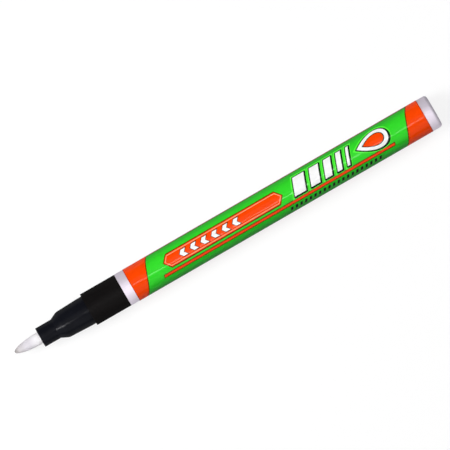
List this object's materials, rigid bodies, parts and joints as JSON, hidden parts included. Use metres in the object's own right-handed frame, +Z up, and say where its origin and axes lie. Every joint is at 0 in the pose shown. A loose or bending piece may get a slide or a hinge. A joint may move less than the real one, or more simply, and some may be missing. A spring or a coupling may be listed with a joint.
{
  "type": "paint marker",
  "caption": "Slim valve-action paint marker without its cap: a bullet nib presses in against a sprung valve, and a loose ball mixes the paint in the aluminium barrel.",
  "frame": {"origin": "middle of the marker's length, on the surface it lies on", "axes": "+X along the marker from its nib to its rear end, +Z up, +Y to the side"},
  "size_m": [0.1352, 0.01, 0.01],
  "materials": {
    "barrel_aluminium": "satin",
    "label_film": "gloss",
    "collar_plastic": "matte",
    "nose_plastic": "semi-gloss",
    "nib_fibre": "matte",
    "valve_plastic": "satin",
    "seal_rubber": "matte",
    "spring_steel": "bright"
  },
  "bodies": {
    "marker_body": {"barrel": "barrel_aluminium", "label_sleeve": "label_film", "collar": "collar_plastic", "barrel_seal": "seal_rubber", "nose": "nose_plastic", "valve_seat": "valve_plastic", "spring_cup": "valve_plastic", "valve_spring": "spring_steel"},
    "plunger": {"nib": "nib_fibre", "nib_holder": "valve_plastic", "valve_stem": "valve_plastic", "stem_washer": "seal_rubber"},
    "ball": {"mixing_ball": "spring_steel"}
  },
  "joints": [
    {"name": "nib_press", "type": "slide", "parent": "marker_body", "child": "plunger", "axis": [1, 0, 0], "range_m": [0, 0.002], "stiffness_N_per_m": 1500, "deforming": ["valve_spring"]},
    {"name": "ball_slide", "type": "slide", "parent": "marker_body", "child": "ball", "axis": [1, 0, 0], "range_m": [-0.0822, 0]}
  ]
}
